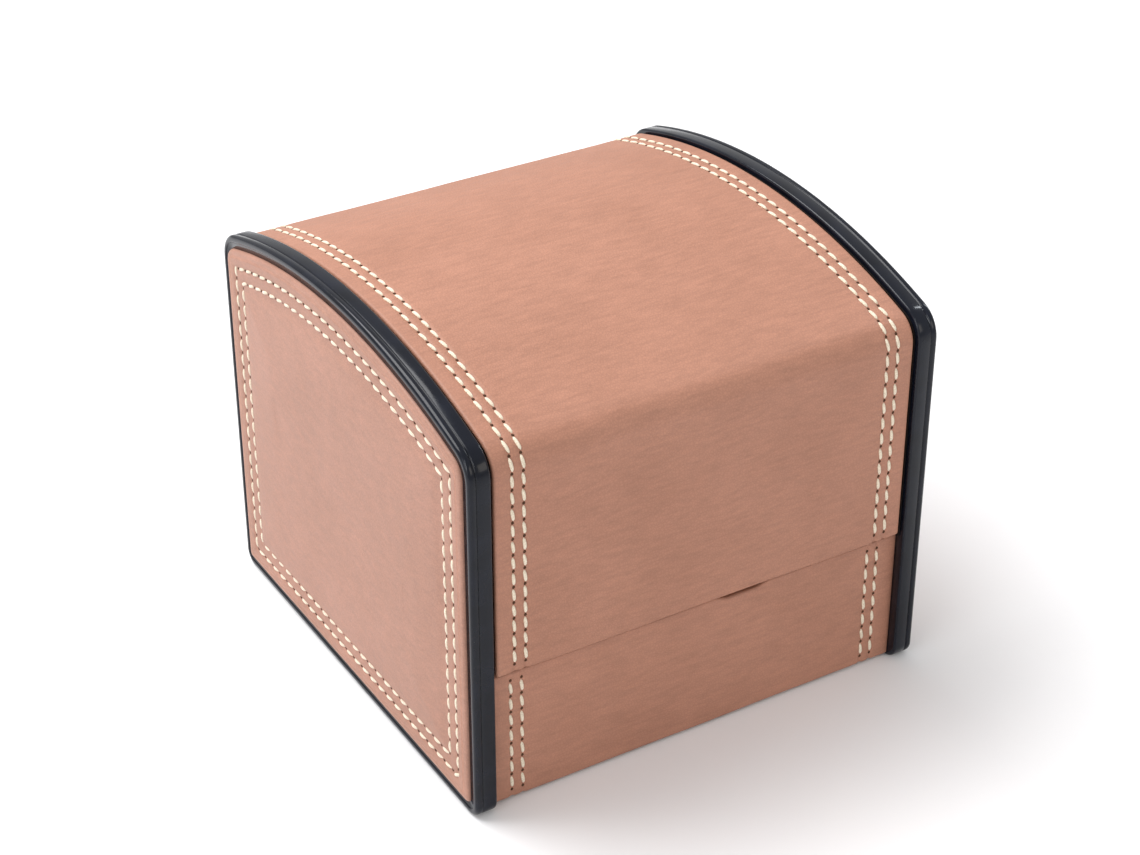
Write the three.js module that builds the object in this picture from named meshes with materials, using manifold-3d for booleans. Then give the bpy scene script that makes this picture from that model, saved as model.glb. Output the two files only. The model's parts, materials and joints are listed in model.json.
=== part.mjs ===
// A watch box with a suede pillow and a flip-up lid, modelled shut.
// Millimetres. +X is right, +Z is up and the front faces -Y. The origin is on the ground under the middle.
import * as THREE from "three";
import { mergeVertices } from "three/addons/utils/BufferGeometryUtils.js";
import Module from "manifold-3d";

const wasm = await Module();
wasm.setup();

// Overall size
const width = 96; // over the side leathers
const depth = 95; // over the side panels' edges
const height = 82; // to the crown of the arch
const archRise = 8.5; // crown above the level where the arch would meet the upright edges
const shoulderRadius = 6; // corner between upright edge and arch
const footRadius = 3; // corner between upright edge and ground

// Side panels
const sideBoardThickness = 3.8;
const edgeBandThickness = 0.6;
const sideLeatherThickness = 0.8;
const sideLeatherMargin = 2.4; // black edge left showing round the leather
const sideLiningThickness = 0.4;
const sideLiningMargin = 1.2;

// Walls and floor
const leatherThickness = 0.8;
const boardThickness = 1.8;
const liningThickness = 0.8;
const bottomBoardThickness = 2;
const undersideSheetThickness = 0.5;
const undersideSheetMargin = 3;
const frontWallRecess = 2.2; // behind the side panels' front edges
const backWallRecess = 1.4; // inside the side panels' back edges, for lid and base alike
const frontSeamHeight = 28.5;
const seamGap = 0.6;
const notchWidth = 10;
const notchDepth = 1.2;
const notchOffset = 9; // right of the middle

// Lid
const lidRecess = 0.6; // inside the side panels' front and top edges
const lidSideClearance = 0.4;
const cheekThickness = 1.6;
const cheekLiningThickness = 0.4;

// Hinge
const hingeDrop = 36; // axis below the crown
const hingeLength = 60;
const knuckleCount = 5;
const knuckleRadius = 1.2;
const knuckleGap = 0.3;
const knuckleClearance = 0.5;
const pinRadius = 0.6;
const pinClearance = 0.1;
const leafThickness = 0.6;
const leafHeight = 12;
const leafClearance = 0.1;

// Pillow
const pillowSideClearance = 3.5; // to the cheek linings
const pillowClearance = 0.5; // to front, back and floor linings
const pillowFrontEdge = [3.4, 18]; // seam: behind the front lining, above the floor lining
const pillowBackEdge = [11.5, 14]; // seam: in front of the back lining, above the hinge
const pillowCrown = 9; // top face above the seam plane
const pillowBelly = 33; // underside below the seam plane
const pillowSquareness = 2.6; // of its section: 2 is an ellipse
const pillowTaper = 0.6; // towards its ends: 1 tapers like a ball, 0 not at all
const pillowCoverThickness = 0.8;
const pillowFillingGap = 0.3;
const pillowSlitLength = 30;
const pillowSlitWidth = 1.5;

// Facets
const archSteps = 24;
const cornerSteps = 5;
const roundSteps = 20;
const pillowSteps = [32, 18];

// Levels and faces that several pieces share
const halfDepth = depth / 2;
const hingeHeight = height - hingeDrop;
const sideInner = width / 2 - sideLeatherThickness - sideBoardThickness;
const liningHalf = sideInner - sideLiningThickness;
const lidHalf = liningHalf - lidSideClearance;
const lidBoardHalf = lidHalf - cheekThickness;

const leatherBottom = undersideSheetThickness;
const boardBottom = leatherBottom + leatherThickness;
const floorBoardTop = boardBottom + bottomBoardThickness;
const floorTop = floorBoardTop + liningThickness;
const frontTop = frontSeamHeight - seamGap / 2;
const backTop = hingeHeight - seamGap / 2;
const lidFrontBottom = frontSeamHeight + seamGap / 2;
const lidBackBottom = hingeHeight + seamGap / 2;

const frontFace = -halfDepth + frontWallRecess;
const frontBoardFace = frontFace + leatherThickness;
const frontLiningFace = frontBoardFace + boardThickness;
const frontInner = frontLiningFace + liningThickness;
const backFace = halfDepth - backWallRecess;
const backBoardFace = backFace - leatherThickness;
const backLiningFace = backBoardFace - boardThickness;
const backInner = backLiningFace - liningThickness;

const archRadius = (halfDepth ** 2 + archRise ** 2) / (2 * archRise);
const archCentre = height - archRadius;

const panelLoaf = { front: halfDepth, back: halfDepth, radius: archRadius, corner: shoulderRadius };
const lidLoaf = {
  front: halfDepth - lidRecess,
  back: backFace,
  radius: archRadius - lidRecess,
  corner: shoulderRadius - lidRecess,
};

// Materials
const tanLeather = new THREE.MeshStandardMaterial({ color: 0xc08a70, roughness: 0.55, metalness: 0 });
const blackGloss = new THREE.MeshStandardMaterial({ color: 0x1c1c24, roughness: 0.2, metalness: 0 });
const blackPaper = new THREE.MeshStandardMaterial({ color: 0x17110e, roughness: 0.8, metalness: 0 });
const brownSuede = new THREE.MeshStandardMaterial({ color: 0x7a451f, roughness: 0.95, metalness: 0 });
const orangeSuede = new THREE.MeshStandardMaterial({ color: 0xd08f58, roughness: 0.95, metalness: 0 });
const greyBoard = new THREE.MeshStandardMaterial({ color: 0x8c8378, roughness: 0.9, metalness: 0 });
const blackFelt = new THREE.MeshStandardMaterial({ color: 0x141414, roughness: 1, metalness: 0 });
const whiteWadding = new THREE.MeshStandardMaterial({ color: 0xeeeae0, roughness: 1, metalness: 0 });
const nickel = new THREE.MeshStandardMaterial({ color: 0xb9b7b0, roughness: 0.3, metalness: 1 });

const box = new THREE.Group();

function add(name, geometry, material) {
  const mesh = new THREE.Mesh(geometry, material);
  mesh.name = name;
  box.add(mesh);
}

// Points of a circular arc in the plane of Y and Z, both ends included.
function arc(y, z, radius, from, to, steps) {
  return Array.from({ length: steps + 1 }, (_, i) => {
    const angle = from + ((to - from) * i) / steps;
    return new THREE.Vector2(y + radius * Math.cos(angle), z + radius * Math.sin(angle));
  });
}

// Centres of a loaf's two shoulders. They don't move when the loaf is inset.
function shoulders(loaf) {
  const centre = (reach) => {
    const y = reach - loaf.corner;
    return { y, z: archCentre + Math.sqrt((loaf.radius - loaf.corner) ** 2 - y ** 2) };
  };
  return { front: centre(loaf.front), back: centre(loaf.back) };
}

// The arch of a loaf with its two shoulders, from front to back.
function archPath(loaf, inset) {
  const { front, back } = shoulders(loaf);
  const corner = loaf.corner - inset;
  const frontAngle = Math.PI - Math.atan2(front.z - archCentre, front.y);
  const backAngle = Math.atan2(back.z - archCentre, back.y);
  return [
    ...arc(-front.y, front.z, corner, Math.PI, frontAngle, cornerSteps),
    ...arc(0, archCentre, loaf.radius - inset, frontAngle, backAngle, archSteps).slice(1, -1),
    ...arc(back.y, back.z, corner, backAngle, 0, cornerSteps),
  ];
}

// The same with upright edges down to a height at the front and at the back.
function uprightPath(loaf, inset, frontZ, backZ) {
  return [
    new THREE.Vector2(inset - loaf.front, frontZ),
    ...archPath(loaf, inset),
    new THREE.Vector2(loaf.back - inset, backZ),
  ];
}

// The closed outline of a side panel, inset all round.
function panelOutline(inset) {
  const foot = footRadius - inset;
  const footCentre = halfDepth - footRadius;
  return [
    ...archPath(panelLoaf, inset),
    ...arc(footCentre, footRadius, foot, 0, -Math.PI / 2, cornerSteps),
    ...arc(-footCentre, footRadius, foot, -Math.PI / 2, -Math.PI, cornerSteps),
  ];
}

// An outline in the plane of Y and Z, extruded from one X to another.
const outlineToRow = new THREE.Matrix4().makeBasis(
  new THREE.Vector3(0, 1, 0),
  new THREE.Vector3(0, 0, 1),
  new THREE.Vector3(1, 0, 0),
);

function extruded(outline, fromX, toX) {
  const shape = new THREE.Shape(outline);
  const geometry = new THREE.ExtrudeGeometry(shape, { depth: toX - fromX, bevelEnabled: false });
  return geometry.applyMatrix4(outlineToRow).translate(fromX, 0, 0);
}

// A range of X on the right, or its mirror image on the left.
function onSide(sign, inner, outer) {
  return sign > 0 ? [inner, outer] : [-outer, -inner];
}

function block([x0, x1], [y0, y1], [z0, z1]) {
  const geometry = new THREE.BoxGeometry(x1 - x0, y1 - y0, z1 - z0);
  return geometry.translate((x0 + x1) / 2, (y0 + y1) / 2, (z0 + z1) / 2);
}

function rod(radius, fromX, toX, y, z) {
  const geometry = new THREE.CylinderGeometry(radius, radius, toX - fromX, roundSteps);
  return geometry.rotateZ(Math.PI / 2).translate((fromX + toX) / 2, y, z);
}

function toSolid(geometry) {
  const bare = geometry.clone().deleteAttribute("normal").deleteAttribute("uv");
  const merged = mergeVertices(bare, 1e-4);
  return new wasm.Manifold(
    new wasm.Mesh({
      numProp: 3,
      vertProperties: merged.attributes.position.array,
      triVerts: new Uint32Array(merged.index.array),
    }),
  );
}

function toGeometry(solid) {
  const { vertProperties, triVerts } = solid.getMesh();
  const geometry = new THREE.BufferGeometry();
  geometry.setAttribute("position", new THREE.BufferAttribute(new Float32Array(vertProperties), 3));
  geometry.setIndex(new THREE.BufferAttribute(new Uint32Array(triVerts), 1));
  geometry.computeVertexNormals();
  return geometry;
}

function cut(geometry, ...tools) {
  return toGeometry(tools.reduce((solid, tool) => solid.subtract(toSolid(tool)), toSolid(geometry)));
}

function joined(...geometries) {
  return toGeometry(geometries.map(toSolid).reduce((solid, next) => solid.add(next)));
}

// The room that the hinge's knuckles turn in, and the pockets for its leaves.
const knuckleRoom = knuckleRadius + knuckleClearance;
const knuckleSlot = block(
  [-hingeLength / 2 - knuckleClearance, hingeLength / 2 + knuckleClearance],
  [backFace - knuckleRoom, backFace + knuckleRoom],
  [hingeHeight - knuckleRoom, hingeHeight + knuckleRoom],
);
const leafFace = backBoardFace - leafThickness;

function leafPocket(fromZ, toZ) {
  const reach = hingeLength / 2 + leafClearance;
  return block([-reach, reach], [leafFace - leafClearance, backBoardFace + leafClearance], [fromZ, toZ]);
}

// Side panels, the same on both sides
function sidePanel(side, sign) {
  const board = onSide(sign, sideInner, sideInner + sideBoardThickness);
  const leather = onSide(sign, sideInner + sideBoardThickness, width / 2);
  const lining = onSide(sign, liningHalf, sideInner);
  add(`side_board_${side}`, extruded(panelOutline(edgeBandThickness), ...board), greyBoard);
  const core = extruded(panelOutline(edgeBandThickness), board[0] - 1, board[1] + 1);
  add(`side_edge_band_${side}`, cut(extruded(panelOutline(0), ...board), core), blackGloss);
  add(`side_leather_${side}`, extruded(panelOutline(sideLeatherMargin), ...leather), tanLeather);
  const liningOutline = [
    new THREE.Vector2(frontLiningFace, floorBoardTop),
    new THREE.Vector2(frontLiningFace, frontTop),
    ...uprightPath(panelLoaf, sideLiningMargin, frontTop, backTop),
    new THREE.Vector2(backLiningFace, backTop),
    new THREE.Vector2(backLiningFace, floorBoardTop),
  ];
  add(`side_lining_${side}`, extruded(liningOutline, ...lining), blackPaper);
}

// Front wall, floor and back wall
function baseWalls() {
  const full = [-sideInner, sideInner];
  const lined = [-liningHalf, liningHalf];
  const fold = leatherThickness;
  const notch = block(
    [notchOffset - notchWidth / 2, notchOffset + notchWidth / 2],
    [frontFace - 1, frontLiningFace],
    [frontTop - notchDepth, frontTop + 1],
  );
  const leatherOutline = [
    [frontFace, frontTop],
    [frontFace, leatherBottom],
    [backFace, leatherBottom],
    [backFace, backTop],
    [backLiningFace, backTop],
    [backLiningFace, backTop - fold],
    [backBoardFace, backTop - fold],
    [backBoardFace, boardBottom],
    [frontBoardFace, boardBottom],
    [frontBoardFace, frontTop - fold],
    [frontLiningFace, frontTop - fold],
    [frontLiningFace, frontTop],
  ].map(([y, z]) => new THREE.Vector2(y, z));
  add("base_leather", cut(extruded(leatherOutline, ...full), notch, knuckleSlot), tanLeather);
  const sheetReach = halfDepth - frontWallRecess - undersideSheetMargin;
  add(
    "underside_sheet",
    block(
      [undersideSheetMargin - sideInner, sideInner - undersideSheetMargin],
      [-sheetReach, sheetReach],
      [0, undersideSheetThickness],
    ),
    blackFelt,
  );
  const frontBoard = block(full, [frontBoardFace, frontLiningFace], [boardBottom, frontTop - fold]);
  add("front_board", cut(frontBoard, notch), greyBoard);
  const bottomBoard = block(full, [frontLiningFace, backLiningFace], [boardBottom, floorBoardTop]);
  add("bottom_board", bottomBoard, greyBoard);
  const backBoard = block(full, [backLiningFace, backBoardFace], [boardBottom, backTop - fold]);
  const pocket = leafPocket(hingeHeight - leafHeight - leafClearance, hingeHeight);
  add("back_board", cut(backBoard, pocket, knuckleSlot), greyBoard);
  add("front_lining", block(lined, [frontLiningFace, frontInner], [floorBoardTop, frontTop]), brownSuede);
  add("floor_lining", block(lined, [frontInner, backInner], [floorBoardTop, floorTop]), brownSuede);
  add("back_lining", block(lined, [backInner, backLiningFace], [floorBoardTop, backTop]), brownSuede);
}

// Lid: leather over boards over lining, with a cheek at each end
function lidShell() {
  const fold = leatherThickness;
  const boardInset = leatherThickness + boardThickness;
  const liningInset = boardInset + liningThickness;
  const corners = shoulders(lidLoaf);
  const inside = (inset, frontZ, backZ) => uprightPath(lidLoaf, inset, frontZ, backZ).reverse();
  const point = (y, z) => new THREE.Vector2(y, z);

  const leatherOutline = [
    ...uprightPath(lidLoaf, 0, lidFrontBottom, lidBackBottom),
    point(lidLoaf.back - boardInset, lidBackBottom),
    point(lidLoaf.back - boardInset, lidBackBottom + fold),
    ...inside(leatherThickness, lidFrontBottom + fold, lidBackBottom + fold),
    point(boardInset - lidLoaf.front, lidFrontBottom + fold),
    point(boardInset - lidLoaf.front, lidFrontBottom),
  ];
  add("lid_leather", cut(extruded(leatherOutline, -lidHalf, lidHalf), knuckleSlot), tanLeather);

  const boards = [-lidBoardHalf, lidBoardHalf];
  const frontBoard = block(
    boards,
    [fold - lidLoaf.front, boardInset - lidLoaf.front],
    [lidFrontBottom + fold, corners.front.z],
  );
  add("lid_front_board", frontBoard, greyBoard);
  const topOutline = [...archPath(lidLoaf, leatherThickness), ...archPath(lidLoaf, boardInset).reverse()];
  add("lid_top_board", extruded(topOutline, ...boards), greyBoard);
  const backBoard = block(
    boards,
    [lidLoaf.back - boardInset, lidLoaf.back - fold],
    [lidBackBottom + fold, corners.back.z],
  );
  const pocket = leafPocket(hingeHeight, hingeHeight + leafHeight + leafClearance);
  add("lid_back_board", cut(backBoard, pocket, knuckleSlot), greyBoard);
  const liningOutline = [
    ...uprightPath(lidLoaf, boardInset, lidFrontBottom, lidBackBottom),
    ...inside(liningInset, lidFrontBottom, lidBackBottom),
  ];
  add("lid_lining", extruded(liningOutline, ...boards), brownSuede);

  const cheekOutline = [
    ...uprightPath(lidLoaf, leatherThickness, lidFrontBottom + fold, lidBackBottom + fold),
    point(lidLoaf.back - boardInset, lidBackBottom + fold),
    point(boardInset - lidLoaf.front, lidFrontBottom + fold),
  ];
  const cheekLiningOutline = uprightPath(
    lidLoaf,
    liningInset,
    lidFrontBottom + fold,
    lidBackBottom + fold,
  );
  const cheekLiningInner = lidBoardHalf - cheekLiningThickness;
  for (const [side, sign] of [["left", -1], ["right", 1]]) {
    add(`lid_cheek_${side}`, extruded(cheekOutline, ...onSide(sign, lidBoardHalf, lidHalf)), blackGloss);
    const lining = extruded(cheekLiningOutline, ...onSide(sign, cheekLiningInner, lidBoardHalf));
    add(`lid_cheek_lining_${side}`, lining, blackPaper);
  }
}

// Hinge: two leaves with alternate knuckles on one pin
function hinge() {
  const knuckleLength = (hingeLength - (knuckleCount - 1) * knuckleGap) / knuckleCount;
  const bore = rod(pinRadius + pinClearance, -hingeLength, hingeLength, backFace, hingeHeight);
  const leaf = (sign, parity) => {
    const level = (offset) => hingeHeight + sign * offset;
    const sorted = (a, b) => [Math.min(a, b), Math.max(a, b)];
    const thickness = [leafFace, backBoardFace];
    const plate = block(
      [-hingeLength / 2, hingeLength / 2],
      thickness,
      sorted(level(knuckleRoom), level(leafHeight)),
    );
    const pieces = [plate];
    for (let i = parity; i < knuckleCount; i += 2) {
      const start = -hingeLength / 2 + i * (knuckleLength + knuckleGap);
      const span = [start, start + knuckleLength];
      pieces.push(block(span, thickness, sorted(level(0), level(knuckleRoom + leafClearance))));
      pieces.push(rod(knuckleRadius, ...span, backFace, hingeHeight));
    }
    return cut(joined(...pieces), bore);
  };
  add("hinge_base_leaf", leaf(-1, 0), nickel);
  add("hinge_lid_leaf", leaf(1, 1), nickel);
  add("hinge_pin", rod(pinRadius, -hingeLength / 2, hingeLength / 2, backFace, hingeHeight), nickel);
}

// Pillow: a superellipse across X, crowned above its seam plane and full below it,
// flattened where it lies on the floor lining and against the front and back linings.
const pillowFront = new THREE.Vector2(frontInner + pillowFrontEdge[0], floorTop + pillowFrontEdge[1]);
const pillowBack = new THREE.Vector2(backInner - pillowBackEdge[0], hingeHeight + pillowBackEdge[1]);
const pillowMiddle = pillowFront.clone().add(pillowBack).multiplyScalar(0.5);
const pillowHalfWidth = lidBoardHalf - cheekLiningThickness - pillowSideClearance;

function pillowBody(inset) {
  const along = pillowBack.clone().sub(pillowFront);
  const tilt = along.angle();
  const halfLength = along.length() / 2 - inset;
  const geometry = new THREE.SphereGeometry(1, ...pillowSteps).rotateZ(Math.PI / 2);
  const at = geometry.attributes.position;
  for (let i = 0; i < at.count; i += 1) {
    const x = at.getX(i);
    const around = Math.hypot(at.getY(i), at.getZ(i));
    const angle = Math.atan2(at.getZ(i), at.getY(i));
    const halfThickness = (angle > 0 ? pillowCrown : pillowBelly) - inset;
    const lengthShare = Math.abs(Math.cos(angle)) / halfLength;
    const thicknessShare = Math.abs(Math.sin(angle)) / halfThickness;
    const reach = (lengthShare ** pillowSquareness + thicknessShare ** pillowSquareness) ** (-1 / pillowSquareness);
    const fullness = around ** pillowTaper;
    const y = pillowMiddle.x + fullness * reach * Math.cos(angle + tilt);
    const z = pillowMiddle.y + fullness * reach * Math.sin(angle + tilt);
    const gap = pillowClearance + inset;
    at.setXYZ(
      i,
      Math.sign(x) * Math.abs(x) ** pillowTaper * (pillowHalfWidth - inset),
      THREE.MathUtils.clamp(y, frontInner + gap, backInner - gap),
      Math.max(z, floorTop + gap),
    );
  }
  return geometry;
}

function pillow() {
  const slit = block(
    [-pillowSlitLength / 2, pillowSlitLength / 2],
    [pillowMiddle.x - pillowSlitWidth / 2, pillowMiddle.x + pillowSlitWidth / 2],
    [0, pillowMiddle.y],
  );
  add("pillow_cover", cut(pillowBody(0), pillowBody(pillowCoverThickness), slit), orangeSuede);
  add("pillow_filling", pillowBody(pillowCoverThickness + pillowFillingGap), whiteWadding);
}

sidePanel("left", -1);
sidePanel("right", 1);
baseWalls();
lidShell();
hinge();
pillow();

export default box;
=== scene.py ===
import json
import math
import random

import bmesh
import bpy
import numpy as np
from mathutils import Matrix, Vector, noise


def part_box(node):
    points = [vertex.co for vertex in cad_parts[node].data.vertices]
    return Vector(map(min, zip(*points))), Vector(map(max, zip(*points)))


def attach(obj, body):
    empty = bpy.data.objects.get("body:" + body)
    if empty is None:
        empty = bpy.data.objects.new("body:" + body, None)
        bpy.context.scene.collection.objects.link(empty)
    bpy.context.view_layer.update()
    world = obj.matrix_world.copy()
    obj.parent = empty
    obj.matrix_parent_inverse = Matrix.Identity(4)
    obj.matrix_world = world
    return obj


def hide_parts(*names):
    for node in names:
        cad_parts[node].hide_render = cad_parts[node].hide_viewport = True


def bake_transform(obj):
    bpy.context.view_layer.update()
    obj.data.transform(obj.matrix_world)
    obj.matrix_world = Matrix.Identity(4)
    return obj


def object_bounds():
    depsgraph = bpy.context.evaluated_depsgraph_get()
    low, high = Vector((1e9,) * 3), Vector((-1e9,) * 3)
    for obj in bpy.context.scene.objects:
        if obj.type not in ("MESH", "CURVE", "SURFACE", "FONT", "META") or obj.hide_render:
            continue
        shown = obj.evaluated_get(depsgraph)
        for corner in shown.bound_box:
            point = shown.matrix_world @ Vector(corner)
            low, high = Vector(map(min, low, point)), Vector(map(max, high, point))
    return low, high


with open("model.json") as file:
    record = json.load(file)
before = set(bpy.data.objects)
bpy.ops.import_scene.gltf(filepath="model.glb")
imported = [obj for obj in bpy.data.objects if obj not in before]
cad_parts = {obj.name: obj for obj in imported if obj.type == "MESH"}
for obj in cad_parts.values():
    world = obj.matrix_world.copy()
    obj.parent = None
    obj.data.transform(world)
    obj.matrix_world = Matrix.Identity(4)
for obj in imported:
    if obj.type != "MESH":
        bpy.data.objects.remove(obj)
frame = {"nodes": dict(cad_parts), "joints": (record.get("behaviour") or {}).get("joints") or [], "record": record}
cad_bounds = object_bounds()

MM = 0.001

# ---------------------------------------------------------------- sizes from the frame, in millimetres


def span(node):
    """Lowest and highest corner of a CAD node, in millimetres."""
    low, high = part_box(node)
    return np.array(low) / MM, np.array(high) / MM


PANEL_LOW, PANEL_HIGH = span("side_edge_band_right")
BASE_LOW, BASE_HIGH = span("base_leather")
LID_LOW, LID_HIGH = span("lid_leather")
FRONT_BOARD_LOW, FRONT_BOARD_HIGH = span("front_board")
INNER_FRONT = span("front_lining")[1][1]
INNER_BACK = span("back_lining")[0][1]
FLOOR_TOP = span("floor_lining")[1][2]
HINGE_Z = frame["joints"][0]["pos_m"][2] / MM

HALF_DEPTH = PANEL_HIGH[1]
HEIGHT = PANEL_HIGH[2]
ARCH_RISE = 8.5  # the crown above the level where the arch would meet the upright edges
SHOULDER_RADIUS = 6.0
FOOT_RADIUS = 3.0
TIGHTEST_CORNER = 0.8  # an inset outline's corners are never sharper than this
ARCH_RADIUS = (HALF_DEPTH**2 + ARCH_RISE**2) / (2 * ARCH_RISE)
ARCH_CENTRE = HEIGHT - ARCH_RADIUS
LEATHER_THICKNESS = 0.8
ROW_OFFSETS = (3.5, 5.7)  # the lid's two stitch lines, in from its side edge
PANEL_ROWS = (6.1, 8.9)  # the side panels' two stitch lines, in from the panel's outline
STITCH_PITCH = 3.2
STITCH_LENGTH = 2.5
STITCH_LIFT = 0.08  # of the stitch lines above the leather

# ---------------------------------------------------------------- outlines


def arc(y, z, radius, start, end, steps):
    """Points of a circular arc as rows of y, z, both ends included."""
    turn = np.linspace(start, end, steps + 1)
    return np.stack([y + radius * np.cos(turn), z + radius * np.sin(turn)], 1)


def arch_path(front, back, radius, corner, arch_steps=96, corner_steps=12):
    """The arch with its two shoulders, from front to back, as rows of y, z."""

    def shoulder(reach):
        y = reach - corner
        return y, ARCH_CENTRE + math.sqrt((radius - corner) ** 2 - y**2)

    front_y, front_z = shoulder(front)
    back_y, back_z = shoulder(back)
    front_angle = math.pi - math.atan2(front_z - ARCH_CENTRE, front_y)
    back_angle = math.atan2(back_z - ARCH_CENTRE, back_y)
    return np.concatenate([
        arc(-front_y, front_z, corner, math.pi, front_angle, corner_steps),
        arc(0, ARCH_CENTRE, radius, front_angle, back_angle, arch_steps)[1:-1],
        arc(back_y, back_z, corner, back_angle, 0, corner_steps),
    ])


def panel_outline(inset):
    """The closed outline of a side panel, inset all round."""
    reach = HALF_DEPTH - inset
    corner = max(SHOULDER_RADIUS - inset, TIGHTEST_CORNER)
    foot = max(FOOT_RADIUS - inset, TIGHTEST_CORNER)
    points_between = 24
    top = arch_path(reach, reach, ARCH_RADIUS - inset, corner)
    back_foot = arc(reach - foot, inset + foot, foot, 0, -math.pi / 2, 8)
    front_foot = arc(foot - reach, inset + foot, foot, -math.pi / 2, -math.pi, 8)

    def between(a, b):
        return np.linspace(a, b, points_between + 2)[1:-1]

    return np.concatenate([
        top,
        between(top[-1], back_foot[0]),
        back_foot,
        between(back_foot[-1], front_foot[0]),
        front_foot,
        between(front_foot[-1], top[0]),
    ])


def lid_loaf(inset):
    """Reach to front and back, arch radius and corner radius of the lid's outside, inset."""
    recess = HEIGHT - LID_HIGH[2]
    return (
        -LID_LOW[1] - inset,
        LID_HIGH[1] - inset,
        ARCH_RADIUS - recess - inset,
        max(SHOULDER_RADIUS - recess - inset, TIGHTEST_CORNER),
    )


def distances(path):
    """Distance of each point of a path from its start."""
    return np.concatenate([[0], np.cumsum(np.linalg.norm(np.diff(path, axis=0), axis=1))])


def filled(path, step):
    """The same open path with points added, so that no two are further apart than a step."""
    points = [path[:1]]
    for a, b in zip(path, path[1:]):
        count = max(math.ceil(np.linalg.norm(b - a) / step), 1)
        points.append(np.linspace(a, b, count + 1)[1:])
    return np.concatenate(points)


def path_normals(path):
    """Unit normals on the left of an open path of y, z."""
    tangent = np.gradient(path, axis=0)
    tangent /= np.linalg.norm(tangent, axis=1)[:, None]
    return np.stack([-tangent[:, 1], tangent[:, 0]], 1)


# ---------------------------------------------------------------- mesh helpers


def make_mesh(name, vertices, faces, material, smooth=True):
    """An object from vertices in millimetres, its faces turned outwards."""
    mesh = bpy.data.meshes.new(name)
    mesh.from_pydata([tuple(v) for v in np.asarray(vertices) * MM], [], [tuple(f) for f in faces])
    work = bmesh.new()
    work.from_mesh(mesh)
    bmesh.ops.recalc_face_normals(work, faces=work.faces)
    work.to_mesh(mesh)
    work.free()
    mesh.polygons.foreach_set("use_smooth", [smooth] * len(mesh.polygons))
    mesh.materials.append(material)
    piece = bpy.data.objects.new(name, mesh)
    bpy.context.collection.objects.link(piece)
    return piece


def swept_rings(name, rings, material, closed=False, cap_start=False, cap_end=False):
    """Closed loops of equal length joined one to the next. closed joins the last ring to the first."""
    count = len(rings[0])
    vertices = np.concatenate(rings)
    faces = []
    pairs = list(zip(range(len(rings) - 1), range(1, len(rings))))
    if closed:
        pairs.append((len(rings) - 1, 0))
    for a, b in pairs:
        for i in range(count):
            j = (i + 1) % count
            faces.append((a * count + i, a * count + j, b * count + j, b * count + i))
    if cap_start:
        faces.append(tuple(range(count)))
    if cap_end:
        faces.append(tuple(range((len(rings) - 1) * count, len(rings) * count)))
    return make_mesh(name, vertices, faces, material)


def sheet_faces(columns, rows):
    """Faces of a closed sheet: a grid of vertices by columns, a second grid behind it, and the borders."""
    back = columns * rows
    faces = []
    for a in range(columns - 1):
        for i in range(rows - 1):
            corner = a * rows + i
            quad = (corner, corner + 1, corner + rows + 1, corner + rows)
            faces.append(quad)
            faces.append(tuple(back + v for v in reversed(quad)))
    border = [(a * rows + i, (a + 1) * rows + i) for a in range(columns - 1) for i in (0, rows - 1)]
    border += [(a * rows + i, a * rows + i + 1) for a in (0, columns - 1) for i in range(rows - 1)]
    return faces + [(a, b, back + b, back + a) for a, b in border]


def strip_sheet(name, path, stations, height, thickness, material):
    """A closed sheet that follows a path of y, z and runs along X. height(s, x) lifts its outside."""
    normals = path_normals(path)
    lengths = distances(path)
    count = len(path)
    outside, inside = [], []
    for x in stations:
        lift = np.array([height(s, x) for s in lengths])
        outer = path + normals * lift[:, None]
        inner = path - normals * thickness
        outside.append(np.column_stack([np.full(count, x), outer]))
        inside.append(np.column_stack([np.full(count, x), inner]))
    vertices = np.concatenate(outside + inside)
    return make_mesh(name, vertices, sheet_faces(len(stations), count), material)


# ---------------------------------------------------------------- materials


def new_material(name, roughness, specular=0.5):
    """A material with its node tree and its shader."""
    material = bpy.data.materials.new(name)
    material.use_nodes = True
    shader = material.node_tree.nodes["Principled BSDF"]
    shader.inputs["Roughness"].default_value = roughness
    shader.inputs["Specular IOR Level"].default_value = specular
    return material, material.node_tree, shader


def add_node(tree, kind, **values):
    """A new node, with each value put in the input or setting of that name."""
    node = tree.nodes.new(kind)
    for key, value in values.items():
        if key in node.inputs:
            node.inputs[key].default_value = value
        else:
            setattr(node, key, value)
    return node


def coordinates(tree, stretch=(1, 1, 1)):
    """Object coordinates, stretched."""
    source = add_node(tree, "ShaderNodeTexCoord")
    mapping = add_node(tree, "ShaderNodeMapping")
    mapping.inputs["Scale"].default_value = stretch
    tree.links.new(source.outputs["Object"], mapping.inputs["Vector"])
    return mapping.outputs["Vector"]


def noise_of(tree, vector, size_mm, detail=3.0, roughness=0.55):
    """Noise with features of about a size in millimetres."""
    scale = 1 / (size_mm * MM)
    texture = add_node(tree, "ShaderNodeTexNoise", Scale=scale, Detail=detail, Roughness=roughness)
    tree.links.new(vector, texture.inputs["Vector"])
    return texture.outputs["Fac"]


def ramp_of(tree, source, stops):
    """A colour ramp with stops of (position, colour)."""
    ramp = add_node(tree, "ShaderNodeValToRGB")
    while len(ramp.color_ramp.elements) < len(stops):
        ramp.color_ramp.elements.new(0.5)
    for element, (position, colour) in zip(ramp.color_ramp.elements, stops):
        element.position = position
        element.color = (*colour, 1)
    tree.links.new(source, ramp.inputs["Fac"])
    return ramp.outputs["Color"]


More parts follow.
